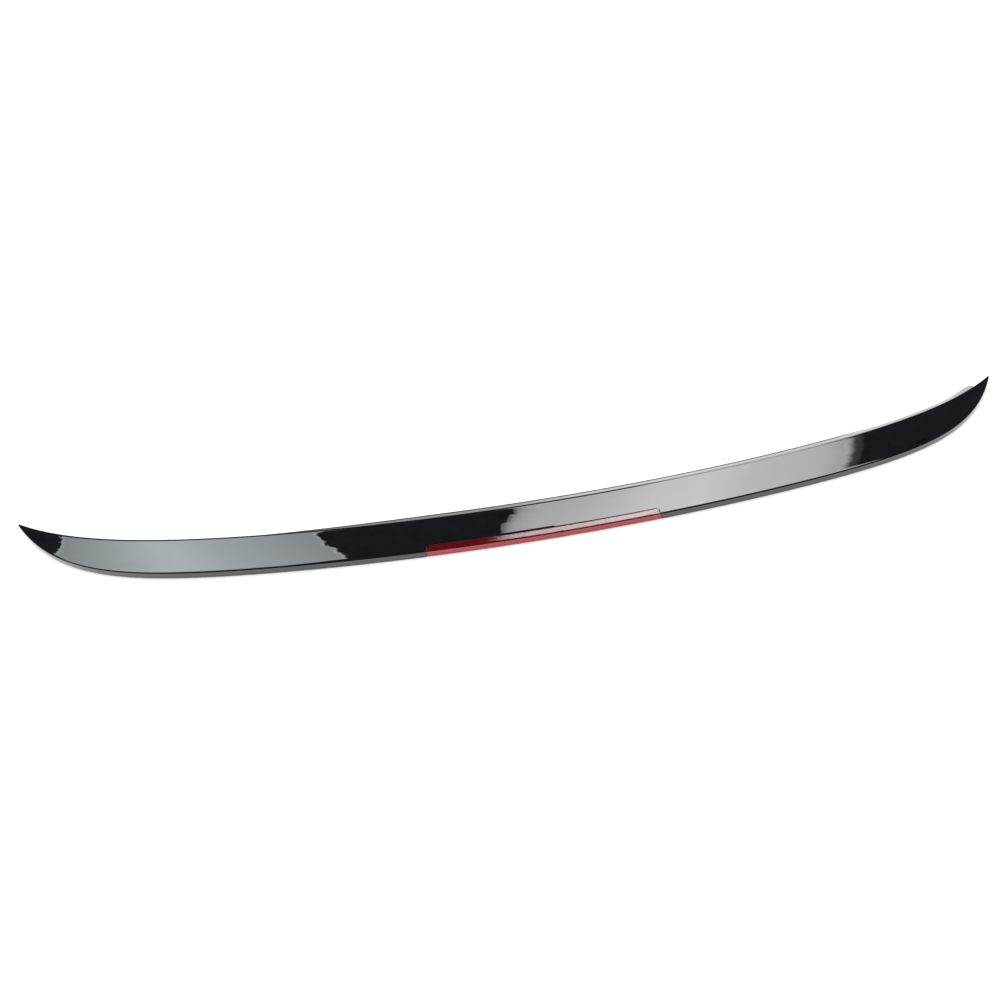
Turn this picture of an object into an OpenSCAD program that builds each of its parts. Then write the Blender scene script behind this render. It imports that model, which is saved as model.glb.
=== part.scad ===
// Car rear lip spoiler with a built-in brake light, fixed by foam tape.
// Millimetres. X runs across the car, the rear edge faces -Y, Z is up, and Z = 0 is the floor that it rests on.
// Every section is taken square to X. u is the distance behind the leading edge, v the distance ahead of
// the rear edge.

/* [Blade] */
// Width from tip to tip
span = 1220; // [1000:10:1400]
// How far the even curve of the blade carries its ends forward
bow = 65.2; // [50:0.2:90]
// How much further forward the tips hook
hook = 34.2; // [10:0.2:40]
// Depth of the top face in the middle
chord = 55; // [48:1:70]
// How much deeper the top face would be at the tips if they didn't close
flare = 2; // [0:0.1:6]
// How long the depth holds before the tips close
bluntness = 11; // [8:1:14]
// Width of the blunt end of each tip
tip_w = 3; // [1:0.1:4]
// Height of the leading edge above the floor
lead_z = 6.5; // [5:0.25:8]
// Rise of the rear edge above the leading edge
rise = 3.2; // [2.5:0.1:8]
// Hollow of the top face between its two edges
dish = 0.4; // [0:0.1:1]
// Height of the bottom of the rear face above the floor
skirt_z = 0.4; // [0.2:0.1:0.8]
// Thickness of the leading edge
lead_t = 2.2; // [1.8:0.1:2.8]
// Wall thickness of the moulding
skin = 2.0; // [1.8:0.1:2.4]
// Thickness of the rear wall
wall = 2.6; // [2:0.1:3]
// Radius of the rear edge
crease_r = 1.5; // [0.5:0.1:1.8]
// Rounding of the leading edge and of the bottom of the rear face
edge_r = 0.5; // [0.3:0.1:0.8]
// Width over which the top face rolls down to the leading edge
roll_u = 3.4; // [1:0.1:4]
// How far it rolls down there
roll_z = 0.7; // [0.2:0.05:0.8]

/* [Underside] */
// Length of each tip that is left solid
tip_len = 90; // [80:5:140]
// Length over which the hollow runs out toward the tip
run_out = 12; // [8:1:20]
// Thickness of the base plate
plate_t = 1.5; // [1.2:0.1:2]
// Gap round the base plate
plate_gap = 0.25; // [0.15:0.05:0.4]
// Gap between the ends of the base plate and the run-out of the hollow
plate_end = 3; // [1:0.5:5]
// Thickness of the stiffening ribs
rib_t = 1.6; // [1.2:0.1:2]
// Least height of a rib, at the front of the hollow
rib_low = 0.4; // [0.3:0.1:1]
// Distance of the outer ribs from the lamp and from the ends of the base plate
rib_end = 12; // [8:1:20]
// Number of ribs on each side of the lamp
rib_n = 9; // [4:1:12]
// Thickness of the foam tape
tape_t = 1.0; // [0.8:0.1:1.2]
// Thickness of the tape liner
liner_t = 0.2; // [0.1:0.05:0.3]
// Width of the foam tape
tape_w = 10; // [8:0.5:12]
// Margin between a rear tape and the edge that it runs along
tape_gap = 0.4; // [0.2:0.1:1]
// Margin between the leading edge and the front tape
tape_lead = 1.5; // [1:0.1:3]
// Distance from the tips to the ends of the front tape
tape_tip = 26; // [20:1:40]
// How much wider than its tape a rear liner is
liner_tab = 0.5; // [0.2:0.1:1]
// How far the front liner stands out past the leading edge
liner_out = 8; // [1:0.5:10]
// Distance from the left tip to where the front liner starts to come out
liner_from = 130; // [100:10:300]
// Length over which it comes out
liner_run = 380; // [200:10:400]

/* [Lamp] */
// Length of the red lens along the rear edge
lens_len = 274; // [240:2:300]
// Width of the border by which the lens lies on its seat
border = 2.3; // [1.8:0.1:4]
// Radius of the two front corners of the lens
corner_r = 5; // [2:0.5:7]
// Distance from the ends of the lens to the lamp housing
case_end = 4; // [3:0.5:10]
// Wall thickness of the lens
lens_t = 2.0; // [1.6:0.1:2.4]
// Gap round the lens
lens_gap = 0.25; // [0.15:0.05:0.4]
// Height of the lens bottom above the floor
lens_z = 0.9; // [0.6:0.1:1.2]
// Thickness of the bead that seals the lens
seal_t = 0.5; // [0.3:0.1:0.8]
// Width of the frame round the lens
frame_w = 3; // [2:0.5:5]
// Thickness of that frame
seat_t = 1.6; // [1.2:0.1:2]
// Number of light-emitting diodes, in groups of three
led_n = 15; // [9:3:15]
// Width of a diode
led_w = 3.5; // [3:0.1:4]
// Height of a diode
led_h = 2.8; // [2.4:0.1:3]
// Thickness of a diode
led_t = 1.4; // [1:0.1:1.6]
// Lens flutes in front of each diode
flutes_per_led = 3; // [2:1:4]
// Radius of a flute
flute_r = 0.9; // [0.6:0.1:1]
// Thickness of the circuit board
board_t = 1.0; // [0.8:0.1:1.2]
// Board left over past the last diode
board_rim = 1.0; // [0.6:0.1:2]
// Gap between the board and the cable grommet
board_gap = 1.15; // [0.5:0.05:3]
// Thickness of the lamp housing
case_t = 1.2; // [1:0.1:1.5]
// Diameter of the cable hole in the grommet
cable_d = 2.2; // [1.8:0.1:2.4]
// Wall thickness of the grommet, and width of its lips
grommet_t = 0.6; // [0.5:0.1:0.8]
// Number of screws on each side
screw_n = 3; // [2:1:4]
// Diameter of a screw
screw_d = 2; // [1.8:0.1:2.2]
// Diameter of a screw head
head_d = 3.8; // [3.4:0.1:4]
// Diameter of a screw boss
boss_d = 4.4; // [4:0.1:5]
// Clearance between the pieces of the lamp
fit = 0.3; // [0.2:0.05:0.5]
// Clearance of a screw in its hole, on the radius
slack = 0.1; // [0.05:0.05:0.2]

/* [Hidden] */
half = span / 2;
lens_half = lens_len / 2;
rings = 32;
edge_x = [for (i = [-rings:rings]) half * sin(90 * i / rings)];
face_h = lead_z + rise - skirt_z;
weld = 0.4;
beyond = 10;
tip_cut = pow(1 - tip_w / (chord + flare), 1 / bluntness);

function mix(a, b, t) = a + (b - a) * t;
function ease(t) = let (k = max(0, min(1, t))) k * k * (3 - 2 * k);
function bend(x) = tip_cut * abs(x) / half;
function close(x) = 1 - pow(bend(x), bluntness);
function swept(x) = bow * pow(bend(x), 2) + hook * pow(bend(x), 8);
// The origin is under the middle of the whole outline
mid_y = (chord - swept(half)) / 2;
function lead_y(x) = mid_y + swept(x);
function deep(x) = (chord + flare * pow(bend(x), 2)) * close(x);
// Width of the roll at the leading edge, less at the tips
function roll(x) = min(roll_u, 0.2 * deep(x));
function top_z(x, u) = let (f = u / deep(x), w = roll(x))
    lead_z + rise * close(x) * f - dish * close(x) * 4 * f * (1 - f)
    - roll_z * w / roll_u * pow(max(0, 1 - u / w), 2);
function skirt(x) = lead_z + rise * close(x) - face_h * sqrt(close(x));
function nose_t(x) = lead_t * (0.6 + 0.4 * close(x));
// The underside is straight in every section; its rear end is set so that the rear tape liner meets the floor.
tape_end = wall + tape_gap;
under_rear = tape_t + liner_t - (lead_z - lead_t - tape_t - liner_t) * tape_end / (chord - tape_end);
function under_z(x, u) = let (a = lead_z - nose_t(x), b = skirt(x) + (under_rear - skirt_z) * close(x))
    a + (b - a) * u / deep(x);

// The hollow starts where the blade is thick enough for its skin, the lowest rib and the base plate.
function room_u(u) = top_z(0, u) - under_z(0, u) < skin + rib_low + plate_t ? room_u(u + 0.05) : u;
hollow_u = room_u(lead_t);
hollow_half = half - tip_len;
plate_half = hollow_half - run_out - plate_end;
function open(x) = max(0, min(1, (hollow_half - abs(x)) / run_out));
function front_u(x) = min(hollow_u, 0.42 * deep(x));
function roof_z(x, u) = let (b = under_z(x, u)) b + open(x) * (top_z(x, u) - skin - b);
function wall_u(x) = deep(x) - min(wall, 0.3 * deep(x));

// Places of u and z on one section, as a point in space
function at(x, u, z) = [x, lead_y(x) - u, z];

// A solid from a row of rings that all have the same number of points
module loft(r) {
    n = len(r[0]);
    m = len(r);
    polyhedron(
        points = [for (a = r) for (p = a) p],
        faces = concat(
            [[for (j = [0:n - 1]) j]],
            [for (i = [0:m - 2]) for (j = [0:n - 1]) let (k = (j + 1) % n) [i * n + j, (i + 1) * n + j, (i + 1) * n + k]],
            [for (i = [0:m - 2]) for (j = [0:n - 1]) let (k = (j + 1) % n) [i * n + j, (i + 1) * n + k, i * n + k]],
            [[for (j = [n - 1:-1:0]) (m - 1) * n + j]]),
        convexity = 10);
}

// The moulding's section: nose, dished top, rounded rear edge, rear face, inside of the rear wall, roof
function shell_ring(x) = let (
    c = deep(x), n = min(edge_r, 0.1 * c), r = min(crease_r, 0.2 * c), w = wall_u(x), f = front_u(x),
    zc = lead_z + rise * close(x), s = skirt(x), b = min(edge_r, 0.15 * c), e = f - (edge_r * open(x) + plate_gap))
    concat(
        [for (k = [[1, 0], [0.25, 0.15], [0, 0.5], [0.25, 0.85], [1, 1]])
            at(x, n * k[0], mix(under_z(x, n), top_z(x, n), k[1]))],
        [for (k = [1:3]) let (u = mix(n, roll(x), k / 3)) at(x, u, top_z(x, u))],
        [for (k = [1:7]) let (u = mix(roll(x), c - r, k / 7)) at(x, u, top_z(x, u))],
        [for (a = [15:15:90]) at(x, c - r + r * sin(a), mix(zc - r, top_z(x, c - r), cos(a)))],
        [at(x, c, s + b), at(x, c - b * 0.3, s + b * 0.3), at(x, c - b, s), at(x, w, s)],
        [for (k = [0:3]) let (u = mix(w, f, k / 3)) at(x, u, roof_z(x, u))],
        [at(x, e, under_z(x, e))]);

// Rear edge of the middle as an arc: distance v ahead of the edge is radius arc_r - v
arc_r = half * half / (2 * tip_cut * tip_cut * (bow - flare));
arc_y = arc_r + mid_y - chord;
function turn(x) = asin(x / arc_r);
function sag(x) = x * x / (2 * arc_r);
module swing(x1, x2) {
    translate([0, arc_y, 0])
        rotate([0, 0, turn(x1) - 90])
            rotate_extrude(angle = turn(x2) - turn(x1), $fn = 2700) children();
}
// One thing placed along that arc at distance v from the rear edge, its own -Y facing the rear
module on_arc(x, v) {
    translate([0, arc_y, 0]) rotate([0, 0, turn(x)]) translate([0, v - arc_r, 0]) children();
}
function mid_top(v) = top_z(0, chord - v);

// Lamp, from the rear edge forward: lens wall, room for the grommet's lips, back wall, seat, bosses, floor lip
grommet_d = cable_d + 2 * grommet_t;
lip_d = grommet_d + 2 * grommet_t;
lip_t = 0.4 * case_t;
inside_v = lens_t + fit + lip_d;
grommet_v = inside_v - fit / 2 - lip_d / 2;
case_v = inside_v + case_t;
seat_v = case_v + fit;
lens_d = case_v + border;
screw_v = seat_v + fit + boss_d / 2;
floor_v = screw_v + boss_d / 2 + fit;
// Lamp, along the rear edge
case_half = lens_half - case_end;
bay_half = lens_half + frame_w;
notch_half = bay_half + fit;
grommet_x = case_half - case_t - fit - lip_d / 2;
board_half = grommet_x - lip_d / 2 - board_gap;
led_pitch = 2 * (board_half - board_rim - led_w / 2) / (led_n - 1);
function led_x(i) = (i - (led_n + 1) / 2) * led_pitch;
function screw_x(i) = (i - 0.5) * case_half / screw_n;
board_v = inside_v - slack;
// Lamp, upward
seat_z = mid_top(lens_d) - lens_t - seal_t;
board_z = lens_z + case_t + fit;
board_h = mid_top(inside_v) - lens_t - fit - board_z;
led_z = board_z + (board_h - led_h) / 2;
tip_z = seat_z - seat_t / 2;
head_h = case_t - 2 * slack;
core_d = screw_d - 4 * slack;

// What is left out at the two front corners of the lens, or of its room with the gap g, to round them
module corners(g) {
    x = lens_half - corner_r;
    y = mid_y - chord + lens_d - corner_r + sag(lens_half);
    r = corner_r + g;
    for (s = [-1, 1]) linear_extrude(seat_z + beyond)
        polygon(concat([for (a = [0:18:90]) [s * (x + r * cos(a)), y + r * sin(a)]],
            [[s * x, y + r + 3], [s * (x + r + 3), y + r + 3], [s * (x + r + 3), y]]));
}

module spoiler_shell() color([0.02, 0.02, 0.022]) {
    difference() {
        union() {
            loft([for (x = edge_x) shell_ring(x)]);
            lens_frame();
            for (s = [-1, 1]) {
                bay_walls(s);
                for (i = [1:screw_n])
                    on_arc(s * screw_x(i), screw_v)
                        translate([0, 0, lens_z + case_t]) cylinder(d = boss_d, h = tip_z - lens_z - case_t, $fn = 32);
                for (i = [0:rib_n - 1])
                    rib(s * mix(bay_half + rib_end, plate_half - rib_end, i / (rib_n - 1)), wall);
            }
            for (i = [-2:2]) rib(i * lens_len / 6, lens_d + frame_w);
        }
        // Room for the border of the lens
        difference() {
            swing(-lens_half - lens_gap, lens_half + lens_gap)
                translate([arc_r - lens_d - lens_gap, seat_z]) square([lens_d + beyond, beyond]);
            corners(lens_gap);
        }
        // Room for the lamp housing
        swing(-case_half - fit, case_half + fit)
            translate([arc_r - seat_v, -1]) square([seat_v + beyond, seat_z + 2]);
        // Room for the flange of the lens
        swing(-lens_half - lens_gap - slack, lens_half + lens_gap + slack)
            translate([arc_r - lens_t - lens_gap, -2]) square([lens_t + beyond / 2, seat_z + 4]);
        for (s = [-1, 1], i = [1:screw_n])
            on_arc(s * screw_x(i), screw_v)
                translate([0, 0, lens_z]) cylinder(d = core_d, h = tip_z + fit - lens_z, $fn = 24);
    }
}
// Frame under the lens border, thick enough to carry its seat
module lens_frame() {
    low = seat_z - seat_t;
    high = mid_top(lens_d) - skin / 2;
    swing(-bay_half, bay_half)
        translate([arc_r - lens_d - frame_w, low]) square([lens_d + frame_w - lens_t, high - low]);
}
// Walls that close one end of the lamp's bay: behind the flange of the lens, and at the outer end
module bay_walls(s) {
    high = mid_top(floor_v) - 0.6 * skin - lens_z;
    v = lens_t + lens_gap + rib_t;
    out = bay_half - slack;
    swing(s > 0 ? case_half + fit : -out, s > 0 ? out : -case_half - fit)
        translate([arc_r - v, lens_z]) square([rib_t + lens_gap / 2, high]);
    swing(s > 0 ? out - rib_t : -out, s > 0 ? out : rib_t - out)
        translate([arc_r - floor_v, lens_z]) square([floor_v - v + slack, high]);
}
// A rib between the roof and the base plate, from the front of the hollow to the distance v from the rear edge
module rib(x, v) {
    a = front_u(x) - weld;
    b = deep(x) - v + weld;
    translate([x + rib_t / 2, lead_y(x), 0]) rotate([90, 0, -90])
        linear_extrude(rib_t)
            polygon(concat(
                [for (k = [0:4]) let (u = mix(a, b, k / 4)) [u, top_z(x, u) - skin + weld]],
                [[b, under_z(x, b) + plate_t], [a, under_z(x, a) + plate_t]]));
}

// Flat panel that closes the hollow from below, notched round the lamp
module base_plate() color([0.05, 0.05, 0.055]) {
    step = 2 * fit;
    xs = concat([for (x = edge_x) if (abs(x) < plate_half - step && abs(abs(x) - notch_half) > 2 * step) x],
        [for (s = [-1, 1], d = [0, step]) s * (notch_half + d)], [-plate_half, plate_half]);
    loft([for (x = sorted(xs)) let (
        a = front_u(x) + plate_gap,
        b = abs(x) < notch_half + step / 2 ? deep(x) - floor_v - fit : wall_u(x) - plate_gap) [
        at(x, a, under_z(x, a)), at(x, a, under_z(x, a) + plate_t),
        at(x, b, under_z(x, b) + plate_t), at(x, b, under_z(x, b))]]);
}
function sorted(v) = len(v) < 2 ? v : let (p = v[floor(len(v) / 2)])
    concat(sorted([for (a = v) if (a < p) a]), [for (a = v) if (a == p) a], sorted([for (a = v) if (a > p) a]));

// L-shaped red lens: border on the top face, rounded edge, flange over the rear face, flutes inside
module lens() color([0.75, 0.02, 0.03, 0.8]) {
    difference() {
        swing(-lens_half, lens_half) lens_section();
        corners(0);
    }
    pitch = led_pitch / flutes_per_led;
    n = floor((board_half - flute_r) / pitch);
    low = lens_z + case_t + fit;
    for (i = [-n:n])
        on_arc(i * pitch, lens_t - fit)
            translate([0, 0, low]) cylinder(r = flute_r, h = mid_top(lens_t) - lens_t + weld / 2 - low, $fn = 16);
}
module lens_section() {
    zc = lead_z + rise;
    r = crease_r;
    soft = 0.8 * edge_r;
    polygon(concat(
        [[arc_r - lens_d, mid_top(lens_d) - soft]],
        [for (k = [0:4]) let (v = mix(lens_d - soft, r, k / 4)) [arc_r - v, mid_top(v)]],
        [for (a = [15:15:90]) [arc_r - r + r * sin(a), mix(zc - r, mid_top(r), cos(a))]],
        [[arc_r, lens_z + soft], [arc_r - soft, lens_z], [arc_r - lens_t, lens_z],
         [arc_r - lens_t, mid_top(lens_t) - lens_t - fit], [arc_r - lens_t - fit, mid_top(lens_t) - lens_t]],
        [for (v = [case_v, lens_d]) [arc_r - v, mid_top(v) - lens_t]]));
}

// Bead that seals the front border of the lens to its seat
module lens_seal() color([0.1, 0.1, 0.1]) {
    front_v = lens_d - slack;
    swing(-case_half, case_half) polygon([
        [arc_r - front_v, seat_z], [arc_r - seat_v, seat_z],
        [arc_r - seat_v, mid_top(seat_v) - lens_t], [arc_r - front_v, mid_top(front_v) - lens_t]]);
}

// Tray behind the lens: floor with a front lip for the screws, back wall, two end walls
module lamp_housing() color([0.06, 0.06, 0.065]) {
    difference() {
        union() {
            swing(-case_half, case_half)
                translate([arc_r - floor_v, lens_z]) square([floor_v - lens_t, case_t]);
            swing(-case_half, case_half) wall_section(case_v, inside_v);
            for (s = [-1, 1])
                swing(s > 0 ? case_half - case_t : -case_half, s > 0 ? case_half : case_t - case_half)
                    wall_section(case_v, lens_t + weld);
        }
        for (s = [-1, 1], i = [1:screw_n])
            on_arc(s * screw_x(i), screw_v) {
                translate([0, 0, lens_z - 0.01])
                    cylinder(d1 = head_d + 2 * slack, d2 = screw_d + 2 * slack, h = head_h + 0.01, $fn = 32);
                translate([0, 0, lens_z]) cylinder(d = screw_d + 2 * slack, h = case_t + 1, $fn = 32);
            }
        on_arc(grommet_x, grommet_v) cylinder(d = grommet_d, h = lens_z + case_t + 1, $fn = 32);
    }
}
module wall_section(va, vb) {
    low = lens_z + case_t / 2;
    polygon([[arc_r - va, low], [arc_r - vb, low],
        [arc_r - vb, mid_top(vb) - lens_t], [arc_r - va, mid_top(va) - lens_t]]);
}
module case_screw(x) color([0.5, 0.5, 0.52]) {
    slot_w = screw_d / 5;
    slot_d = 0.6 * head_h;
    on_arc(x, screw_v) {
        difference() {
            translate([0, 0, lens_z]) cylinder(d1 = head_d, d2 = screw_d, h = head_h, $fn = 32);
            for (a = [0, 90]) translate([0, 0, lens_z - 1]) rotate([0, 0, a])
                translate([-head_d * 0.29, -slot_w / 2, 0]) cube([head_d * 0.58, slot_w, slot_d + 1]);
        }
        translate([0, 0, lens_z + head_h - slack]) cylinder(d = core_d, h = tip_z - lens_z - head_h + slack, $fn = 24);
        translate([0, 0, lens_z + head_h]) cylinder(d = screw_d, h = case_t - head_h, $fn = 24);
    }
}
module circuit_board() color([0.9, 0.9, 0.88]) {
    swing(-board_half, board_half)
        translate([arc_r - board_v, board_z]) square([board_t, board_h]);
}
// A thing w wide, h high and t thick on the board, at x and level with the diodes
module on_board(x, w, h, t) {
    on_arc(x, board_v - board_t) translate([-w / 2, -t, board_z + (board_h - h) / 2]) cube([w, t, h]);
}
module led(i) color([0.95, 0.93, 0.85]) {
    difference() {
        on_board(led_x(i), led_w, led_h, led_t);
        on_arc(led_x(i), board_v - board_t)
            translate([0, -0.7 * led_t, led_z + led_h / 2]) rotate([90, 0, 0])
                cylinder(d = 0.8 * led_h, h = led_t, $fn = 32);
    }
}
module resistor(i) color([0.12, 0.12, 0.13]) on_board(led_x(3 * i - 1) + led_pitch / 2, 2, 1.2, 0.5);
module diode() color([0.08, 0.08, 0.09]) on_board(led_x(1) + led_pitch / 2, 2.6, 1.6, 1);
module grommet() color([0.06, 0.06, 0.06]) {
    on_arc(grommet_x, grommet_v) difference() {
        union() {
            for (z = [lens_z - lip_t, lens_z + case_t]) translate([0, 0, z]) cylinder(d = lip_d, h = lip_t, $fn = 32);
            translate([0, 0, lens_z]) cylinder(d = grommet_d, h = case_t, $fn = 32);
        }
        cylinder(d = cable_d, h = lens_z + case_t + beyond, $fn = 32);
    }
}

// A strip under the underside: p and q give u at its two long borders, on every x of xs
module strip(xs, p, q, low, high) {
    loft([for (i = [0:len(xs) - 1]) let (x = xs[i]) [
        at(x, p[i], under_z(x, p[i]) + low), at(x, p[i], under_z(x, p[i]) + high),
        at(x, q[i], under_z(x, q[i]) + high), at(x, q[i], under_z(x, q[i]) + low)]]);
}
// Every ring's x between two ends, and the ends
function span_x(x1, x2) = concat([x1], [for (x = edge_x) if (x > x1 + 1 && x < x2 - 1) x], [x2]);
front_x = span_x(tape_tip - half, half - tape_tip);
rear_x = span_x(notch_half + 2 * fit + tape_gap, plate_half);
mid_x = span_x(-case_half, case_half);
mid_v = floor_v + fit + tape_gap;
// The part of the front liner that stands out comes out slowly at the left and ends in a rounded tab at the right.
liner_x = sorted(concat(front_x, [for (t = [0.03, 0.12, 0.3, 0.6]) half - tape_tip - t * liner_out]));
function over(x) = let (end = min(1, (half - tape_tip - x) / liner_out))
    liner_out * ease((x + half - liner_from) / liner_run) * sqrt(1 - (1 - end) * (1 - end));
module tape_front() color([0.22, 0.22, 0.23]) {
    strip(front_x, [for (x = front_x) tape_lead], [for (x = front_x) tape_lead + tape_w], -tape_t, 0);
}
module liner_front() color([0.92, 0.88, 0.86]) {
    strip(liner_x, [for (x = liner_x) tape_lead - liner_tab - over(x)],
        [for (x = liner_x) tape_lead + tape_w + liner_tab], -tape_t - liner_t, -tape_t);
}
module rear_strip(low, high, more) {
    strip(rear_x, [for (x = rear_x) deep(x) - tape_end - tape_w - more], [for (x = rear_x) deep(x) - tape_end],
        low, high);
}
module mid_strip(low, high, more) {
    strip(mid_x, [for (x = mid_x) deep(x) - mid_v - tape_w - more], [for (x = mid_x) deep(x) - mid_v], low, high);
}
module tape_rear_right() color([0.22, 0.22, 0.23]) rear_strip(-tape_t, 0, 0);
module tape_rear_left() color([0.22, 0.22, 0.23]) mirror([1, 0, 0]) rear_strip(-tape_t, 0, 0);
module tape_rear_middle() color([0.22, 0.22, 0.23]) mid_strip(-tape_t, 0, 0);
module liner_rear_right() color([0.92, 0.88, 0.86]) rear_strip(-tape_t - liner_t, -tape_t, liner_tab);
module liner_rear_left() color([0.92, 0.88, 0.86])
    mirror([1, 0, 0]) rear_strip(-tape_t - liner_t, -tape_t, liner_tab);
module liner_rear_middle() color([0.92, 0.88, 0.86]) mid_strip(-tape_t - liner_t, -tape_t, liner_tab);

spoiler_shell();
base_plate();
lens();
lens_seal();
lamp_housing();
circuit_board();
diode();
grommet();
tape_front();
tape_rear_left();
tape_rear_middle();
tape_rear_right();
liner_front();
liner_rear_left();
liner_rear_middle();
liner_rear_right();
for (i = [1:led_n]) led(i);
for (i = [1:led_n / 3]) resistor(i);
for (i = [1:2 * screw_n]) case_screw((i > screw_n ? 1 : -1) * screw_x(i > screw_n ? i - screw_n : i));
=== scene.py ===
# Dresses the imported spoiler: finer meshes of three pieces, materials, studio and camera.
import bpy
import bmesh
import math
from mathutils import Matrix, Vector


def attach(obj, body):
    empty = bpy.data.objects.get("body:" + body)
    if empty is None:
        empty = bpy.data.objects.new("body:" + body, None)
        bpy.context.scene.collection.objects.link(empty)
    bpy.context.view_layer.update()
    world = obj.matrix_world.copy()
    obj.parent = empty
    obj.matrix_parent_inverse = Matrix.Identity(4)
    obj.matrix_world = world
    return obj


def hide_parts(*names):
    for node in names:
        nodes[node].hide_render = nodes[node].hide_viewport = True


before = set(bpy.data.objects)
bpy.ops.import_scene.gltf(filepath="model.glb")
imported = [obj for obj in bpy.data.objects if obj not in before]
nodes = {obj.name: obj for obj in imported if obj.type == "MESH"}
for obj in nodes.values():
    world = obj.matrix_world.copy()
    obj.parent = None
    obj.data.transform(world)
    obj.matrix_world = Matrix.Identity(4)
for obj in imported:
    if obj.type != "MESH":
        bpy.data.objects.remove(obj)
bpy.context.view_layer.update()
scene = bpy.context.scene
scene.view_settings.view_transform = "Standard"

MM_PER_M = 1000

# Blade, in millimetres
SPAN = 1220.0
BOW = 65.2
HOOK = 34.2
CHORD = 55.0
FLARE = 2.0
BLUNTNESS = 11
TIP_W = 3.0
LEAD_Z = 6.5
RISE = 3.2
DISH = 0.4
SKIRT_Z = 0.4
LEAD_T = 2.2
SKIN = 2.0
WALL = 2.6
CREASE_R = 1.5
EDGE_R = 0.5
ROLL_U = 3.4
ROLL_Z = 0.7

# Where the blade runs out, its roundings and walls are held to these shares of its depth
NOSE_SHARE = 0.1
LOWER_SHARE = 0.15
UPPER_SHARE = 0.2
WALL_SHARE = 0.3
FRONT_SHARE = 0.42
# Share of the leading edge's thickness that is left at the tips
TIP_NOSE = 0.6

# Underside
TIP_LEN = 90.0
RUN_OUT = 12.0
PLATE_T = 1.5
PLATE_GAP = 0.25
RIB_T = 1.6
RIB_LOW = 0.4
TAPE_T = 1.0
LINER_T = 0.2
TAPE_W = 10.0
TAPE_GAP = 0.4
TAPE_LEAD = 1.5
TAPE_TIP = 26.0
LINER_TAB = 0.5
LINER_OUT = 8.0
LINER_FROM = 130.0
LINER_RUN = 380.0

# Lamp
LENS_LEN = 274.0
BORDER = 2.3
CORNER_R = 5.0
CASE_END = 4.0
LENS_T = 2.0
LENS_GAP = 0.25
LENS_Z = 0.9
SEAL_T = 0.5
FRAME_W = 3.0
SEAT_T = 1.6
LED_N = 15
LED_W = 3.5
FLUTES_PER_LED = 3
FLUTE_R = 0.9
BOARD_RIM = 1.0
BOARD_GAP = 1.15
CASE_T = 1.2
LIP_D = 4.6
BOSS_D = 4.4
FIT = 0.3
SLACK = 0.1

# Forms that only the finished pieces have: prism cells in the lens, softened edges, and a band along the
# liner's outer edge, which carries painted shade
CELL_ROWS = 3
CELL_DEPTH = 0.7
LENS_EDGE_R = 0.8 * EDGE_R
LENS_END_R = 0.4
ROOM_RIM = 0.7
ROOM_RIM_LEAST = 0.15
ROOM_FADE_X = -10
ROOM_FADE_RUN = 80
FILM_SHADE_BAND = 1.8

HALF = SPAN / 2
FACE_H = LEAD_Z + RISE - SKIRT_Z
TIP_CUT = (1 - TIP_W / (CHORD + FLARE)) ** (1 / BLUNTNESS)
HOLLOW_HALF = HALF - TIP_LEN

QUARTER = math.pi / 2


def mix(a, b, t):
    return a + (b - a) * t


def ease(t):
    k = max(0.0, min(1.0, t))
    return k * k * (3 - 2 * k)


def steps(a, b, n, first=0):
    """Values from a to b in n even steps, the first few left out."""
    return [mix(a, b, k / n) for k in range(first, n + 1)]


# Form of the blade: x across the car, u behind the leading edge, v ahead of the rear edge
def bend(x):
    return TIP_CUT * abs(x) / HALF


def close(x):
    return 1 - bend(x) ** BLUNTNESS


def swept(x):
    return BOW * bend(x) ** 2 + HOOK * bend(x) ** 8


MID_Y = (CHORD - swept(HALF)) / 2


def lead_y(x):
    return MID_Y + swept(x)


def deep(x):
    return (CHORD + FLARE * bend(x) ** 2) * close(x)


def roll(x):
    return min(ROLL_U, UPPER_SHARE * deep(x))


def crease_z(x):
    """Height of the rear edge before it is rounded."""
    return LEAD_Z + RISE * close(x)


def top_z(x, u):
    f = u / deep(x)
    w = roll(x)
    even = LEAD_Z + RISE * close(x) * f - DISH * close(x) * 4 * f * (1 - f)
    return even - ROLL_Z * w / ROLL_U * max(0.0, 1 - u / w) ** 2


def skirt(x):
    return crease_z(x) - FACE_H * math.sqrt(close(x))


def nose_t(x):
    return LEAD_T * mix(TIP_NOSE, 1, close(x))


def nose_r(x):
    return min(EDGE_R, NOSE_SHARE * deep(x))


TAPE_END = WALL + TAPE_GAP
UNDER_REAR = TAPE_T + LINER_T - (LEAD_Z - LEAD_T - TAPE_T - LINER_T) * TAPE_END / (CHORD - TAPE_END)


def under_z(x, u):
    a = LEAD_Z - nose_t(x)
    b = skirt(x) + (UNDER_REAR - SKIRT_Z) * close(x)
    return mix(a, b, u / deep(x))


def hollow_start():
    """Where the blade is thick enough for its skin, the lowest rib and the base plate."""
    u = LEAD_T
    step = 0.05
    while top_z(0, u) - under_z(0, u) < SKIN + RIB_LOW + PLATE_T:
        u += step
    return u


HOLLOW_U = hollow_start()


def openness(x):
    return max(0.0, min(1.0, (HOLLOW_HALF - abs(x)) / RUN_OUT))


def front_u(x):
    return min(HOLLOW_U, FRONT_SHARE * deep(x))


def wall_u(x):
    return deep(x) - min(WALL, WALL_SHARE * deep(x))


def roof_z(x, u):
    low = under_z(x, u)
    return low + openness(x) * (top_z(x, u) - SKIN - low)


# Rear edge of the middle as an arc
ARC_R = HALF * HALF / (2 * TIP_CUT * TIP_CUT * (BOW - FLARE))
ARC_Y = ARC_R + MID_Y - CHORD


def mid_top(v):
    return top_z(0, CHORD - v)


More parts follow.
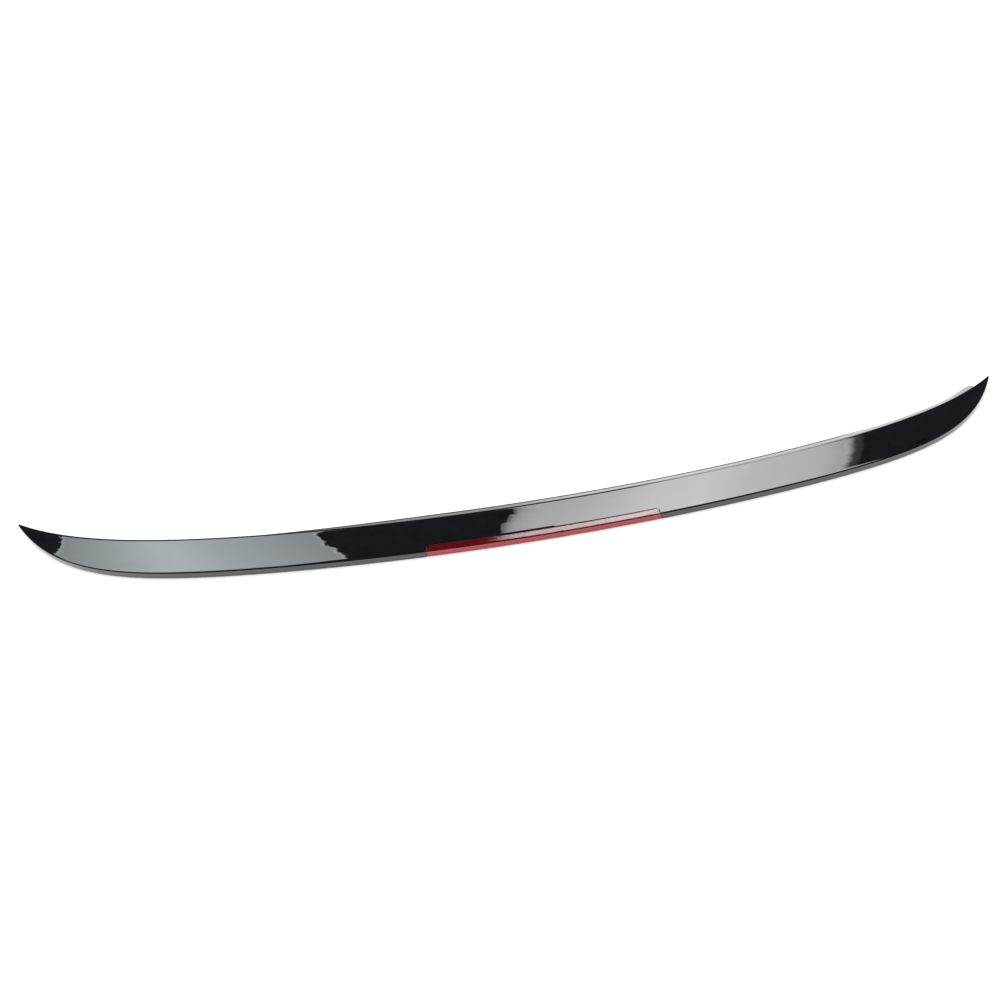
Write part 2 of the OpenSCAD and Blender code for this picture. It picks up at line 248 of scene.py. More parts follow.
LENS_HALF = LENS_LEN / 2
CASE_HALF = LENS_HALF - CASE_END
BAY_HALF = LENS_HALF + FRAME_W
INSIDE_V = LENS_T + FIT + LIP_D
CASE_V = INSIDE_V + CASE_T
SEAT_V = CASE_V + FIT
LENS_D = CASE_V + BORDER
FLOOR_V = SEAT_V + FIT + BOSS_D + FIT
SEAT_Z = mid_top(LENS_D) - LENS_T - SEAL_T
BOARD_HALF = CASE_HALF - CASE_T - FIT - LIP_D - BOARD_GAP
BOARD_Z = LENS_Z + CASE_T + FIT
LED_PITCH = 2 * (BOARD_HALF - BOARD_RIM - LED_W / 2) / (LED_N - 1)
# Centre of the rounding of the lens's front corner
CORNER_X = LENS_HALF - CORNER_R
CORNER_Y = MID_Y - CHORD + LENS_D - CORNER_R + LENS_HALF ** 2 / (2 * ARC_R)
# Cutting solids reach past what they cut: from here behind the rear edge, and some way below and above
BEHIND = -6


# Meshes: points closer than this, in metres, become one, and moulded faces are smooth up to this angle
WELD = 1e-7
SMOOTH_TO = 40


def make(name, verts, faces, sharp=35.0):
    me = bpy.data.meshes.new(name)
    me.from_pydata([(x / MM_PER_M, y / MM_PER_M, z / MM_PER_M) for x, y, z in verts], [], faces)
    bm = bmesh.new()
    bm.from_mesh(me)
    bmesh.ops.remove_doubles(bm, verts=bm.verts, dist=WELD)
    bmesh.ops.recalc_face_normals(bm, faces=bm.faces)
    bm.to_mesh(me)
    bm.free()
    ob = bpy.data.objects.new(name, me)
    scene.collection.objects.link(ob)
    shade(ob, sharp)
    return ob


def shade(ob, sharp):
    """Smooth shading, with edges sharper than an angle in degrees kept sharp."""
    ob.data.polygons.foreach_set("use_smooth", [True] * len(ob.data.polygons))
    ob.data.set_sharp_from_angle(angle=math.radians(sharp))


def loft(name, rings, sharp=35.0):
    n = len(rings[0])
    m = len(rings)
    verts = [p for ring in rings for p in ring]
    faces = [list(range(n)), list(range((m - 1) * n, m * n))[::-1]]
    for i in range(m - 1):
        for j in range(n):
            k = (j + 1) % n
            faces.append([i * n + j, (i + 1) * n + j, (i + 1) * n + k, i * n + k])
    return make(name, verts, faces, sharp)


def prism(name, plan, z0, z1):
    return loft(name, [[(x, y, z) for x, y in plan] for z in (z0, z1)], 20)


def on_arc(x, v, z):
    """The point at distance v ahead of the rear edge, square to the arc at x."""
    a = math.asin(x / ARC_R)
    return (ARC_R - v) * math.sin(a), ARC_Y - (ARC_R - v) * math.cos(a), z


def arc_bar(name, xs, section, sharp=35.0):
    """A closed section of (v, z) swept along the arc; the section may change with the ring's number."""
    rings = []
    for i, x in enumerate(xs):
        points = section(i) if callable(section) else section
        rings.append([on_arc(x, v, z) for v, z in points])
    return loft(name, rings, sharp)


def block(v1, v2, z1, z2):
    return [(v1, z1), (v2, z1), (v2, z2), (v1, z2)]


def cut(ob, other, how="DIFFERENCE"):
    """Cuts away or joins on a second solid, which is used up."""
    mod = ob.modifiers.new("cut", "BOOLEAN")
    mod.operation = how
    mod.solver = "EXACT"
    mod.object = other
    graph = bpy.context.evaluated_depsgraph_get()
    me = bpy.data.meshes.new_from_object(ob.evaluated_get(graph))
    ob.modifiers.clear()
    old = ob.data
    ob.data = me
    bpy.data.meshes.remove(old)
    bpy.data.objects.remove(other, do_unlink=True)


# Shader nodes
def material(name):
    mat = bpy.data.materials.new(name)
    mat.use_nodes = True
    return mat, mat.node_tree, mat.node_tree.nodes["Principled BSDF"]


def add(nt, kind, **values):
    node = nt.nodes.new(kind)
    for key, value in values.items():
        if key in node.inputs:
            node.inputs[key].default_value = value
        else:
            setattr(node, key, value)
    return node


def coords(nt, scale=(1, 1, 1)):
    place = add(nt, "ShaderNodeTexCoord")
    mapping = add(nt, "ShaderNodeMapping", Scale=scale)
    nt.links.new(place.outputs["Object"], mapping.inputs["Vector"])
    return mapping.outputs["Vector"]


def axes(nt):
    """The object's X, Y and Z in metres."""
    place = add(nt, "ShaderNodeSeparateXYZ")
    nt.links.new(coords(nt), place.inputs[0])
    return place.outputs


def noise(nt, vec, scale, detail=2.0, rough=0.5):
    node = add(nt, "ShaderNodeTexNoise", Scale=scale, Detail=detail, Roughness=rough)
    nt.links.new(vec, node.inputs["Vector"])
    return node.outputs["Fac"]


def ramp(nt, fac, stops):
    node = nt.nodes.new("ShaderNodeValToRGB")
    elements = node.color_ramp.elements
    while len(elements) < len(stops):
        elements.new(0.5)
    for element, (place, colour) in zip(elements, stops):
        element.position = place
        element.color = (*colour, 1)
    nt.links.new(fac, node.inputs["Fac"])
    return node.outputs["Color"]


def vary(nt, bsdf, socket, fac, *stops):
    """Spreads a colour or a value of the shader over a pattern."""
    nt.links.new(ramp(nt, fac, stops), bsdf.inputs[socket])


def settle(bsdf, **values):
    """Sets uniform values of the shader; an underscore stands for a space."""
    for key, value in values.items():
        bsdf.inputs[key.replace("_", " ")].default_value = value


def grey(value):
    return (value, value, value)


def bump(nt, bsdf, height, strength, distance, before=None):
    node = add(nt, "ShaderNodeBump", Strength=strength, Distance=distance)
    nt.links.new(height, node.inputs["Height"])
    if before is not None:
        nt.links.new(before, node.inputs["Normal"])
    nt.links.new(node.outputs["Normal"], bsdf.inputs["Normal"])
    return node.outputs["Normal"]


def calc(nt, operation, a, b=None):
    node = add(nt, "ShaderNodeMath", operation=operation)
    for i, source in enumerate((a, b)):
        if source is None:
            continue
        if isinstance(source, (int, float)):
            node.inputs[i].default_value = source
        else:
            nt.links.new(source, node.inputs[i])
    return node.outputs[0]


# Materials: noise scales are per metre, bump distances in metres
MOULDED_WAVE = 28
MOULDED_STRETCH = (0.35, 1, 1)
BLACK_LOW = (0.0020, 0.0022, 0.0026)
BLACK_HIGH = (0.0036, 0.0040, 0.0048)
TRACK_SHARE = 0.28
TRACK_Z = BOARD_Z + 1.9
TRACK_HALF = 0.3


def polished_wave(nt, bsdf, strength, fine, fine_strength, fine_distance):
    """The slow wave and the fine unevenness that a reflection shows in moulded plastic."""
    wave = noise(nt, coords(nt, MOULDED_STRETCH), MOULDED_WAVE, 2, 0.4)
    first = bump(nt, bsdf, wave, strength, 0.0004)
    second = bump(nt, bsdf, fine, fine_strength, fine_distance, first)
    nt.links.new(second, bsdf.inputs["Coat Normal"])


def gloss_black():
    mat, nt, bsdf = material("gloss_black")
    vec = coords(nt)
    vary(nt, bsdf, "Base Color", noise(nt, vec, 60, 4, 0.6), (0.35, BLACK_LOW), (0.7, BLACK_HIGH))
    vary(nt, bsdf, "Roughness", noise(nt, vec, 35, 5, 0.65), (0.4, grey(0.008)), (0.75, grey(0.022)))
    settle(bsdf, IOR=1.5, Coat_Weight=1.0, Coat_Roughness=0.008, Coat_IOR=1.5)
    polished_wave(nt, bsdf, 0.25, noise(nt, vec, 170, 2, 0.5), 0.03, 0.0002)
    return mat


def plain_plastic(name, colour, rough, grain, spread=0.25, strength=0.3):
    """Moulded plastic or rubber with mottled colour and a fine grain."""
    mat, nt, bsdf = material(name)
    vec = coords(nt)
    low = tuple(c * (1 - spread) for c in colour)
    polished, worn = grey(rough * 0.85), grey(min(1, rough * 1.12))
    vary(nt, bsdf, "Base Color", noise(nt, vec, 45, 4, 0.6), (0.3, low), (0.7, colour))
    vary(nt, bsdf, "Roughness", noise(nt, vec, 130, 3, 0.6), (0.3, polished), (0.7, worn))
    bump(nt, bsdf, noise(nt, vec, grain, 2, 0.6), strength, 0.00008)
    return mat


def foam():
    mat, nt, bsdf = material("tape_foam")
    cells = add(nt, "ShaderNodeTexVoronoi", Scale=2200.0)
    nt.links.new(coords(nt), cells.inputs["Vector"])
    pores = cells.outputs["Distance"]
    vary(nt, bsdf, "Base Color", pores, (0.1, grey(0.035)), (0.6, grey(0.09)))
    settle(bsdf, Roughness=0.9)
    bump(nt, bsdf, pores, 0.5, 0.0002)
    return mat


def liner_film(name, levels):
    """Release film with fine streaks; levels give its brightness from the left tip to the right, which is
    painted light and shade along its length.
    """
    mat, nt, bsdf = material(name)
    along = calc(nt, "ADD", calc(nt, "MULTIPLY", axes(nt)[0], MM_PER_M / SPAN), 0.5)
    level = ramp(nt, along, [(t, grey(value)) for t, value in levels])
    streaks = noise(nt, coords(nt, (0.2, 1, 1)), 40, 3, 0.5)
    blend = add(nt, "ShaderNodeVectorMath", operation="MULTIPLY")
    nt.links.new(level, blend.inputs[0])
    nt.links.new(ramp(nt, streaks, [(0.3, grey(0.85)), (0.7, grey(1.0))]), blend.inputs[1])
    nt.links.new(blend.outputs[0], bsdf.inputs["Base Color"])
    vary(nt, bsdf, "Roughness", noise(nt, coords(nt), 300, 3, 0.6), (0.3, grey(0.28)), (0.7, grey(0.42)))
    settle(bsdf, Specular_IOR_Level=0.12)
    bump(nt, bsdf, noise(nt, coords(nt, (0.25, 1, 1)), 120, 3, 0.5), 0.35, 0.00012)
    return mat


def red_lens(name, low, high, **values):
    mat, nt, bsdf = material(name)
    vary(nt, bsdf, "Base Color", noise(nt, coords(nt), 80, 2, 0.5), (0.3, low), (0.7, high))
    settle(bsdf, Coat_Roughness=0.02, **values)
    polished_wave(nt, bsdf, 0.2, noise(nt, coords(nt), 420, 1, 0.5), 0.25, 0.0001)
    return mat


def board():
    """White solder mask with a track through the diodes."""
    mat, nt, bsdf = material("board_white")
    x, _, z = axes(nt)
    along = calc(nt, "FRACT", calc(nt, "MULTIPLY", x, MM_PER_M / LED_PITCH))
    from_middle = calc(nt, "ABSOLUTE", calc(nt, "SUBTRACT", along, 0.5))
    from_track = calc(nt, "ABSOLUTE", calc(nt, "SUBTRACT", z, TRACK_Z / MM_PER_M))
    between = calc(nt, "LESS_THAN", from_middle, TRACK_SHARE)
    on_track = calc(nt, "LESS_THAN", from_track, TRACK_HALF / MM_PER_M)
    track = calc(nt, "MULTIPLY", between, on_track)
    vary(nt, bsdf, "Base Color", track, (0.0, (0.80, 0.80, 0.77)), (1.0, (0.66, 0.66, 0.58)))
    settle(bsdf, Roughness=0.35)
    bump(nt, bsdf, noise(nt, coords(nt), 1800, 2, 0.5), 0.15, 0.00005)
    return mat


def led():
    mat, nt, bsdf = material("led_white")
    grain = noise(nt, coords(nt), 1500)
    vary(nt, bsdf, "Base Color", grain, (0.3, (0.82, 0.74, 0.42)), (0.7, (0.90, 0.86, 0.62)))
    settle(bsdf, Roughness=0.25)
    bump(nt, bsdf, noise(nt, coords(nt), 2500, 1), 0.1, 0.00003)
    return mat


def steel():
    mat, nt, bsdf = material("screw_steel")
    vec = coords(nt, (1, 1, 6))
    vary(nt, bsdf, "Base Color", noise(nt, vec, 900, 4, 0.6), (0.3, grey(0.38)), (0.7, grey(0.58)))
    vary(nt, bsdf, "Roughness", noise(nt, vec, 500, 3, 0.6), (0.3, grey(0.22)), (0.7, grey(0.4)))
    settle(bsdf, Metallic=1.0)
    return mat


GLOSS = gloss_black()
LENS_TOP = red_lens("red_lens", (0.60, 0.004, 0.012), (0.70, 0.006, 0.018),
                    Transmission_Weight=0.92, Roughness=0.02, IOR=1.55, Coat_Weight=1.0)
# A darker, less clear copy of the lens red: painted shade for the rear flange and the rim of the front
# border.
LENS_SHADED = red_lens("red_lens_shaded", (0.31, 0.005, 0.014), (0.36, 0.007, 0.018),
                     Transmission_Weight=0.35, Roughness=0.05, IOR=1.45, Coat_Weight=0.8)
# The film's grey, darker at the left and lighter towards the right, is painted light and shade.
FILM = liner_film("liner_film", [(0.0, 0.20), (0.45, 0.22), (0.55, 0.42), (0.95, 0.46), (1.0, 0.30)])
# The film's outer border band: dark along most of its length as a painted shadow line at the film's edge,
# and light near the right end as painted light.
FILM_EDGE_SHADE = liner_film("liner_film_edge_shade", [(0.0, 0.05), (0.45, 0.06), (0.66, 0.11), (0.81, 0.12),
                                           (0.86, 0.75), (0.94, 0.80), (0.965, 0.32), (1.0, 0.28)])


def dress(starts, mat):
    """Gives a material to every CAD node whose name starts with one of these."""
    for name, ob in nodes.items():
        if not name.startswith(starts):
            continue
        if not ob.material_slots:
            ob.data.materials.append(mat)
        for slot in ob.material_slots:
            slot.material = mat


dress(("base_plate",), plain_plastic("matte_black", grey(0.030), 0.55, 1600))
dress(("lamp_housing",), plain_plastic("housing_black", grey(0.020), 0.35, 2500, 0.3, 0.2))
dress(("lens_seal",), plain_plastic("sealant", grey(0.012), 0.5, 500, 0.3, 0.4))
dress(("grommet",), plain_plastic("grommet_rubber", grey(0.020), 0.75, 900, 0.3, 0.4))
dress(("resistor_", "diode"), plain_plastic("chip_black", grey(0.025), 0.4, 2500))
dress(("tape_",), foam())
dress(("liner_",), FILM)
dress(("circuit_board",), board())
dress(("led_",), led())
dress(("case_screw_",), steel())


def finish_piece(ob, mats, node):
    """A finished piece stands for one CAD node."""
    ob.data.materials.clear()
    for mat in mats:
        ob.data.materials.append(mat)
    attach(ob, "root")
    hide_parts(node)


# Shell
def nose(x):
    """Half an ellipse round the leading edge, from the underside to where the rolled top has its slope."""
    n = nose_r(x)
    du = 0.01
    low = under_z(x, n)
    half = (top_z(x, n) - low) / 2
    slope = (top_z(x, n + du) - top_z(x, n)) / du
    lean = math.atan(slope * n / half)
    half = (top_z(x, n - n * math.sin(lean)) - low) / (1 + math.cos(lean))
    return [(n - n * math.sin(a), low + half - half * math.cos(a)) for a in steps(0, math.pi - lean, 12)]


def shell_ring(x):
    """A section: nose, rolled and dished top, rear edge, rear face, rear wall, roof, front underside."""
    c = deep(x)
    n = nose_r(x)
    r = min(CREASE_R, UPPER_SHARE * c)
    b = min(EDGE_R, LOWER_SHARE * c)
    w = wall_u(x)
    f = front_u(x)
    s = skirt(x)
    zc = crease_z(x)
    z1 = top_z(x, c - r)
    e = f - EDGE_R * openness(x) - PLATE_GAP
    points = nose(x)
    points += [(u, top_z(x, u)) for u in steps(points[-1][0], roll(x), 10, 1)]
    points += [(u, top_z(x, u)) for u in steps(roll(x), c - r, 22, 1)]
    points += [(c - r + r * math.sin(a), mix(zc - r, z1, math.cos(a))) for a in steps(0, QUARTER, 12, 1)]
    points += [(c, mix(zc - r, s + b, 0.5))]
    points += [(c - b + b * math.cos(a), s + b - b * math.sin(a)) for a in steps(0, QUARTER, 5)]
    points += [(mix(c - b, w, 0.5), s), (w, s), (w, mix(s, roof_z(x, w), 0.5))]
    points += [(u, roof_z(x, u)) for u in steps(w, f, 8)]
    points += [(u, under_z(x, u)) for u in steps(e, n, 6)[:-1]]
    return [(x, lead_y(x) - u, z) for u, z in points]


def corner(s):
    """What rounds off one front corner of the lens."""
    r = CORNER_R
    x, y = CORNER_X, CORNER_Y
    far = r + 3
    plan = [(s * (x + r * math.cos(a)), y + r * math.sin(a)) for a in steps(0, QUARTER, 10)]
    plan += [(s * x, y + far), (s * (x + far), y + far), (s * (x + far), y)]
    return prism("corner", plan, -5, SEAT_Z + 20)


def room_outline(gap, back):
    """Plan of the room round the lens: front arc, two rounded corners, ends square to the arc."""
    turn = math.asin((LENS_HALF + gap) / ARC_R)
    r = CORNER_R + gap
    round_xs = [CORNER_X + r * math.sin(a) for a in steps(0, QUARTER, 12, 1)]
    side = []
    for x in steps(0, CORNER_X, 30) + round_xs:
        front = ARC_Y - math.sqrt((ARC_R - LENS_D - gap) ** 2 - x * x)
        if x > CORNER_X:
            front = min(front, CORNER_Y + math.sqrt(max(0.0, r * r - (x - CORNER_X) ** 2)))
        side.append((min(x, (ARC_Y - front) * math.tan(turn)), front))
    side.append(on_arc(LENS_HALF + gap, back, 0)[:2])
    return side[::-1] + [(-x, y) for x, y in side[1:]]


def room_cutter():
    """Cuts the room for the border of the lens and softens its rim, less so towards the right end."""
    top = mid_top(LENS_D)
    levels = [(SEAT_Z, 0.0), (top - ROOM_RIM, 0.0), (top - 0.3 * ROOM_RIM, 0.3),
              (top + 0.1, 1.0), (top + 3, 1.0)]
    near = room_outline(LENS_GAP, BEHIND)
    far = room_outline(LENS_GAP + ROOM_RIM, BEHIND)
    rings = []
    for z, wide in levels:
        ring = []
        for a, b in zip(near, far):
            share = wide * mix(1.0, ROOM_RIM_LEAST, ease((a[0] - ROOM_FADE_X) / ROOM_FADE_RUN))
            ring.append((mix(a[0], b[0], share), mix(a[1], b[1], share), z))
        rings.append(ring)
    return loft("room", rings, 20)


def make_shell():
    rings_half = 150
    xs = [HALF * math.sin(QUARTER * i / rings_half) for i in range(-rings_half, rings_half + 1)]
    shell = loft("shell", [shell_ring(x) for x in xs], SMOOTH_TO)
    bay = steps(-BAY_HALF, BAY_HALF, 60)
    frame_section = block(LENS_D + FRAME_W, LENS_T, SEAT_Z - SEAT_T, mid_top(LENS_D) - SKIN / 2)
    cut(shell, arc_bar("frame", bay, frame_section), "UNION")
    wall_top = mid_top(FLOOR_V) + 0.4 * SKIN - SKIN
    behind = LENS_T + LENS_GAP + RIB_T
    rear_section = block(behind, LENS_T + LENS_GAP / 2, LENS_Z, wall_top)
    side_section = block(FLOOR_V, behind - SLACK, LENS_Z, wall_top)
    out = BAY_HALF - SLACK
    for s in (-1, 1):
        rear = sorted((s * (CASE_HALF + FIT), s * out))
        side = sorted((s * (out - RIB_T), s * out))
        cut(shell, arc_bar("rear_wall", steps(*rear, 4), rear_section), "UNION")
        cut(shell, arc_bar("side_wall", side, side_section), "UNION")
    cut(shell, room_cutter())
    tray = CASE_HALF + FIT
    cut(shell, arc_bar("tray", steps(-tray, tray, 60), block(SEAT_V, BEHIND, -1, SEAT_Z + 1)))
    flange = LENS_HALF + LENS_GAP + SLACK
    flange_section = block(LENS_T + LENS_GAP, BEHIND, -2, SEAT_Z + 2)
    cut(shell, arc_bar("flange", steps(-flange, flange, 60), flange_section))
    shade(shell, SMOOTH_TO)
    finish_piece(shell, [GLOSS], "spoiler_shell")


# Lens
def lens_xs():
    """Rings half a prism cell apart, and closer ones that round off the two ends."""
    half_cell = (INSIDE_V - LENS_T - FIT) / CELL_ROWS / 2
    n = int((CASE_HALF - 1) / half_cell)
    cells = [i * half_cell for i in range(-n, n + 1)]
    end = [LENS_HALF - LENS_END_R * (1 - math.sin(a)) for a in steps(0, QUARTER, 4)]
    return [-x for x in end[::-1]] + [-CASE_HALF] + cells + [CASE_HALF] + end


def lens_section(x, odd):
    """Top with its border, rounded rear edge, rear flange, and prism cells under the top."""
    edge = max(0.0, abs(x) - LENS_HALF + LENS_END_R)
    inset = LENS_END_R - math.sqrt(LENS_END_R ** 2 - edge ** 2)
    zc = crease_z(0)
    r = CREASE_R
    soft = LENS_EDGE_R
    front_v = LENS_D - soft
    front_z = mid_top(LENS_D) - soft - inset
    points = [(front_v + soft * math.cos(a), front_z + soft * math.sin(a)) for a in steps(0, QUARTER, 4)]
    points += [(v, mid_top(v) - inset) for v in steps(front_v, r, 12, 1)]
    points += [(r - (r - inset) * math.sin(a), mix(zc - r, mid_top(r) - inset, math.cos(a)))
               for a in steps(0, QUARTER, 12, 1)]
    points += [(inset, mix(zc - r, LENS_Z + soft, k)) for k in (0.33, 0.66)]
    points += [(max(inset, soft * (1 - math.cos(a))), LENS_Z + soft * (1 - math.sin(a)))
               for a in steps(0, QUARTER, 5)]
    ceiling = mid_top(LENS_T) - LENS_T
    points += [(LENS_T, LENS_Z), (LENS_T, mix(LENS_Z, ceiling, 0.5)), (LENS_T, ceiling - FIT)]
    for k, v in enumerate(steps(LENS_T + FIT, INSIDE_V, 2 * CELL_ROWS)):
        deeper = CELL_DEPTH if k % 2 and odd else 0
        points.append((v, mid_top(v) - LENS_T + deeper))
    points += [(v, mid_top(v) - LENS_T) for v in (CASE_V, LENS_D)]
    return points


def make_flutes():
    """Upright half-round bars on the inside of the rear flange, sunk a little into it and into the top."""
    sunk = 0.2
    start = 0.4
    pitch = LED_PITCH / FLUTES_PER_LED
    n = int((BOARD_HALF - FLUTE_R) / pitch)
    bow = [(-FLUTE_R * math.cos(a), FLUTE_R * math.sin(a) - FIT) for a in steps(start, math.pi - start, 8)]
    outline = [(-FLUTE_R, -sunk)] + bow + [(FLUTE_R, -sunk)]
    verts = []
    faces = []
    m = len(outline)
    for i in range(-n, n + 1):
        base = len(verts)
        a = i * pitch / ARC_R
        for z in (BOARD_Z, mid_top(LENS_T) - LENS_T + sunk):
            for across, ahead in outline:
                r = ARC_R - LENS_T - ahead
                x = r * math.sin(a) + across * math.cos(a)
                y = ARC_Y - r * math.cos(a) + across * math.sin(a)
                verts.append((x, y, z))
        for j in range(m):
            k = (j + 1) % m
            faces.append([base + j, base + k, base + m + k, base + m + j])
        faces += [[base + j for j in range(m)], [base + m + j for j in range(m)][::-1]]
    return make("flutes", verts, faces, SMOOTH_TO)


def make_lens():
    """The lens in clear red, with its rear flange and the rim of its front border in a darker copy of the
    red, as painted shade.
    """
    xs = lens_xs()
    lens = arc_bar("lens_red", xs, lambda i: lens_section(xs[i], i % 2), SMOOTH_TO)
    for s in (-1, 1):
        cut(lens, corner(s))
    cut(lens, make_flutes(), "UNION")
    shade(lens, SMOOTH_TO)
    finish_piece(lens, [LENS_TOP, LENS_SHADED], "lens")
    # Faces of the rear flange and of the front border's rim take the darker copy, as painted shade.
    shaded_below = mid_top(CREASE_R) - 0.5 * CREASE_R
    for face in lens.data.polygons:
        c = face.center * MM_PER_M
        v = ARC_R - math.hypot(c.x, ARC_Y - c.y)
        rear = c.z < shaded_below and v < LENS_T + FLUTE_R
        rim = v > LENS_D - EDGE_R
        face.material_index = 1 if rear or rim else 0


# Front liner
def over(x):
    """How far the liner stands out: slowly at the left, with a rounded tab at the right end."""
    end = min(1.0, (HALF - TAPE_TIP - x) / LINER_OUT)
    tab = math.sqrt(max(0.0, 1 - (1 - end) ** 2))
    return LINER_OUT * ease((x + HALF - LINER_FROM) / LINER_RUN) * tab


def film_u(x):
    """Where the outer edge of the liner lies, behind the leading edge."""
    return TAPE_LEAD - LINER_TAB - over(x)


def make_liner():
    """The film, with its outer border as a band of its own that carries a painted shadow line."""
    reach = HALF - TAPE_TIP
    xs = steps(-reach, reach - LINER_OUT, 160)
    xs += [reach - LINER_OUT * (1 - math.sin(a)) for a in steps(0, QUARTER, 12, 1)]
    rings = []
    for x in xs:
        a = film_u(x)
        b = TAPE_LEAD + TAPE_W + LINER_TAB
        us = [a, a + FILM_SHADE_BAND] + steps(a + FILM_SHADE_BAND, b, 4, 1)
        top = [(u, under_z(x, u) - TAPE_T) for u in us]
        low = [(u, z - LINER_T) for u, z in top[::-1]]
        rings.append([(x, lead_y(x) - u, z) for u, z in top + low])
    liner = loft("front_liner", rings, 50)
    finish_piece(liner, [FILM, FILM_EDGE_SHADE], "liner_front")
    # Faces of the outer border band get the darker material, a painted shadow along the film's edge.
    for face in liner.data.polygons:
        c = face.center * MM_PER_M
        u = lead_y(c.x) - c.y
        face.material_index = 1 if u < film_u(c.x) + FILM_SHADE_BAND else 0


make_shell()
make_lens()
make_liner()


# Studio, in millimetres
FLOOR_HALF = 9000
PANEL_Y = 1500.0
PANEL_TOP = 1600
PANEL_ROWS = 100
PANEL_POWER = 10.0
WORLD_POWER = 1.6
DIM_ROOM = (0.031, 0.034, 0.039)


def stage(ob, mat):
    ob.data.materials.append(mat)


def make_floor():
    mat, nt, bsdf = material("studio_floor")
    vary(nt, bsdf, "Base Color", noise(nt, coords(nt), 0.8, 2, 0.5), (0.3, grey(0.93)), (0.7, grey(0.95)))
    settle(bsdf, Roughness=1.0, Specular_IOR_Level=0.0)
    w = FLOOR_HALF
    stage(make("studio_floor", [(-w, -w, 0), (w, -w, 0), (w, w, 0), (-w, w, 0)], [[0, 1, 2, 3]]), mat)


def ripple(z, size):
    """Unevenness of a panel's side edge, as of cloth on a frame."""
    return size * (math.sin(z / 7.5) + 0.6 * math.sin(z / 3.7 + 1) + 0.8 * math.sin(z / 17))


def glow_material(name):
    """Light whose strength and tint come from the panel's own colour layer."""
    mat = bpy.data.materials.new(name)
    mat.use_nodes = True
    nt = mat.node_tree
    nt.nodes.clear()
    out = nt.nodes.new("ShaderNodeOutputMaterial")
    light = add(nt, "ShaderNodeEmission", Strength=PANEL_POWER)
    level = add(nt, "ShaderNodeVertexColor", layer_name="glow")
    nt.links.new(level.outputs["Color"], light.inputs["Color"])
    nt.links.new(light.outputs[0], out.inputs["Surface"])
    return mat


def softbox(name, lows, high, left, right, uneven, tint, stops):
    """An upright panel of light beyond the object, for the reflections.

    The lows are the heights of its lower edge at its left and right side. Each side is given by its x at
    two heights, and uneven says how much each side wavers. A stop is a place from the left side, 0, to the
    right side, 1, and the brightness there.
    """
    n = PANEL_ROWS

    def side(ends, z, size):
        (x1, z1), (x2, z2) = ends
        return mix(x1, x2, (z - z1) / (z2 - z1)) + ripple(z, size)

    verts = []
    for t, _ in stops:
        for z in steps(mix(*lows, t), high, n - 1):
            verts.append((mix(side(left, z, uneven[0]), side(right, z, uneven[1]), t), PANEL_Y, z))
    faces = []
    for i in range(len(stops) - 1):
        for k in range(i * n, i * n + n - 1):
            faces.append([k, k + 1, k + n + 1, k + n])
    ob = make(name, verts, faces)
    glow = ob.data.color_attributes.new("glow", "FLOAT_COLOR", "POINT")
    for i, (_, level) in enumerate(stops):
        for k in range(n):
            glow.data[i * n + k].color = (*(level * c for c in tint), 1)
    stage(ob, glow_material(name))
    # The panel lights and is reflected, but isn't seen itself
    ob.visible_camera = False


make_floor()
softbox("softbox_left", lows=(1150, 1250), high=PANEL_TOP, uneven=(0.4, 4.0), tint=(0.91, 1.0, 1.035),
        left=((-1281, 1274), (-1208, 1166)), right=((-619, 1417), (-526, 1292)),
        stops=[(0, 0.22), (0.004, 0.27), (0.007, 0.25), (0.011, 0.20), (0.057, 0.235), (0.13, 0.27),
               (0.23, 0.33), (0.32, 0.385), (0.40, 0.40), (0.48, 0.375), (0.55, 0.345), (0.675, 0.312),
               (0.87, 0.263), (0.98, 0.24), (0.985, 0.30), (0.993, 0.31), (0.9965, 0.14), (1, 0.03)])
softbox("softbox_right", lows=(1262, 1235), high=PANEL_TOP, uneven=(4.0, 0.8), tint=(1, 1, 1),
        left=((-20, 1424), (-61, 1336)), right=((1128, 1365), (1066, 1275)),
        stops=[(0, 0.05), (0.004, 0.11), (0.010, 0.16), (0.017, 0.24), (0.028, 0.29), (0.042, 0.33),
               (0.06, 0.36), (0.09, 0.385), (0.15, 0.395), (0.26, 0.445), (0.40, 0.53), (0.54, 0.545),
               (0.68, 0.455), (0.83, 0.41), (0.89, 0.385), (0.917, 0.345), (0.937, 0.31), (0.947, 0.33),
               (0.955, 0.30), (0.964, 0.20), (0.972, 0.09), (0.978, 0.035), (1, 0.02)])
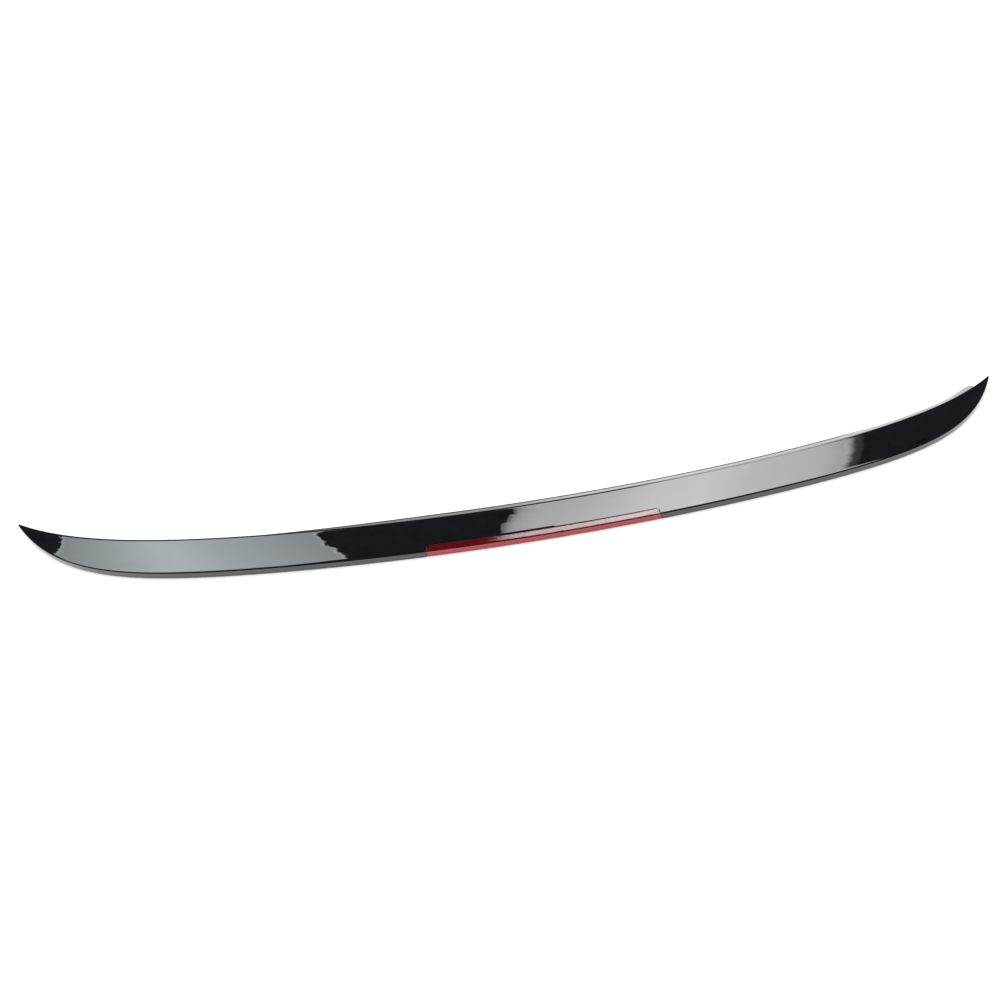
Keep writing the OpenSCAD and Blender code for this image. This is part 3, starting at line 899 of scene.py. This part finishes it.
softbox("reflector_low", lows=(200, 200), high=1230, uneven=(0.0, 0.0), tint=(1, 1, 1),
        left=((300, 1145), (300, 200)), right=((1250, 1145), (1250, 200)),
        stops=[(0, 0), (0.15, 0.22), (0.45, 0.26), (0.58, 0.22), (0.66, 0.06), (0.72, 0), (1, 0)])


def make_world(level, dark):
    """White to the eye and to matt surfaces, and a dim room to glossy ones."""
    world = bpy.data.worlds.new("studio")
    scene.world = world
    world.use_nodes = True
    nt = world.node_tree
    background = nt.nodes["Background"]
    path = nt.nodes.new("ShaderNodeLightPath")
    switch = nt.nodes.new("ShaderNodeMix")
    switch.data_type = "RGBA"
    for socket in switch.inputs:
        if socket.type == "RGBA":
            socket.default_value = (1, 1, 1, 1) if socket.name == "A" else (*dark, 1)
    nt.links.new(path.outputs["Is Glossy Ray"], switch.inputs["Factor"])
    result = [socket for socket in switch.outputs if socket.type == "RGBA"][0]
    nt.links.new(result, background.inputs["Color"])
    background.inputs["Strength"].default_value = level


make_world(WORLD_POWER, DIM_ROOM)


# Camera, fitted to the object's outlines in the photograph: angles in degrees, lengths in millimetres
IMAGE_PX = 1001
SENSOR_W = 36.0
FOCAL_PX = 1039.3
SHIFT_PX = 116.3
ELEVATION = 47.26
AZIMUTH = -9.15
TILT = -2.36
DISTANCE = 1238.8
AIM = (91.74, -13.05 + MID_Y, 1.63)


def make_camera():
    e, a, t = (math.radians(angle) for angle in (ELEVATION, AZIMUTH, TILT))
    back = Vector((math.sin(a) * math.cos(e), -math.cos(a) * math.cos(e), math.sin(e)))
    level = Vector((math.cos(a), math.sin(a), 0))
    rise = back.cross(level)
    right = level * math.cos(t) + rise * math.sin(t)
    up = rise * math.cos(t) - level * math.sin(t)
    spot = (Vector(AIM) + back * DISTANCE) / MM_PER_M
    data = bpy.data.cameras.new("camera")
    data.sensor_width = SENSOR_W
    data.sensor_fit = "HORIZONTAL"
    data.lens = FOCAL_PX / IMAGE_PX * SENSOR_W
    data.shift_x = -SHIFT_PX / IMAGE_PX
    data.clip_start = 0.01
    ob = bpy.data.objects.new("camera", data)
    scene.collection.objects.link(ob)
    ob.matrix_world = Matrix([(right[i], up[i], back[i], spot[i]) for i in range(3)] + [(0, 0, 0, 1)])
    scene.camera = ob


make_camera()
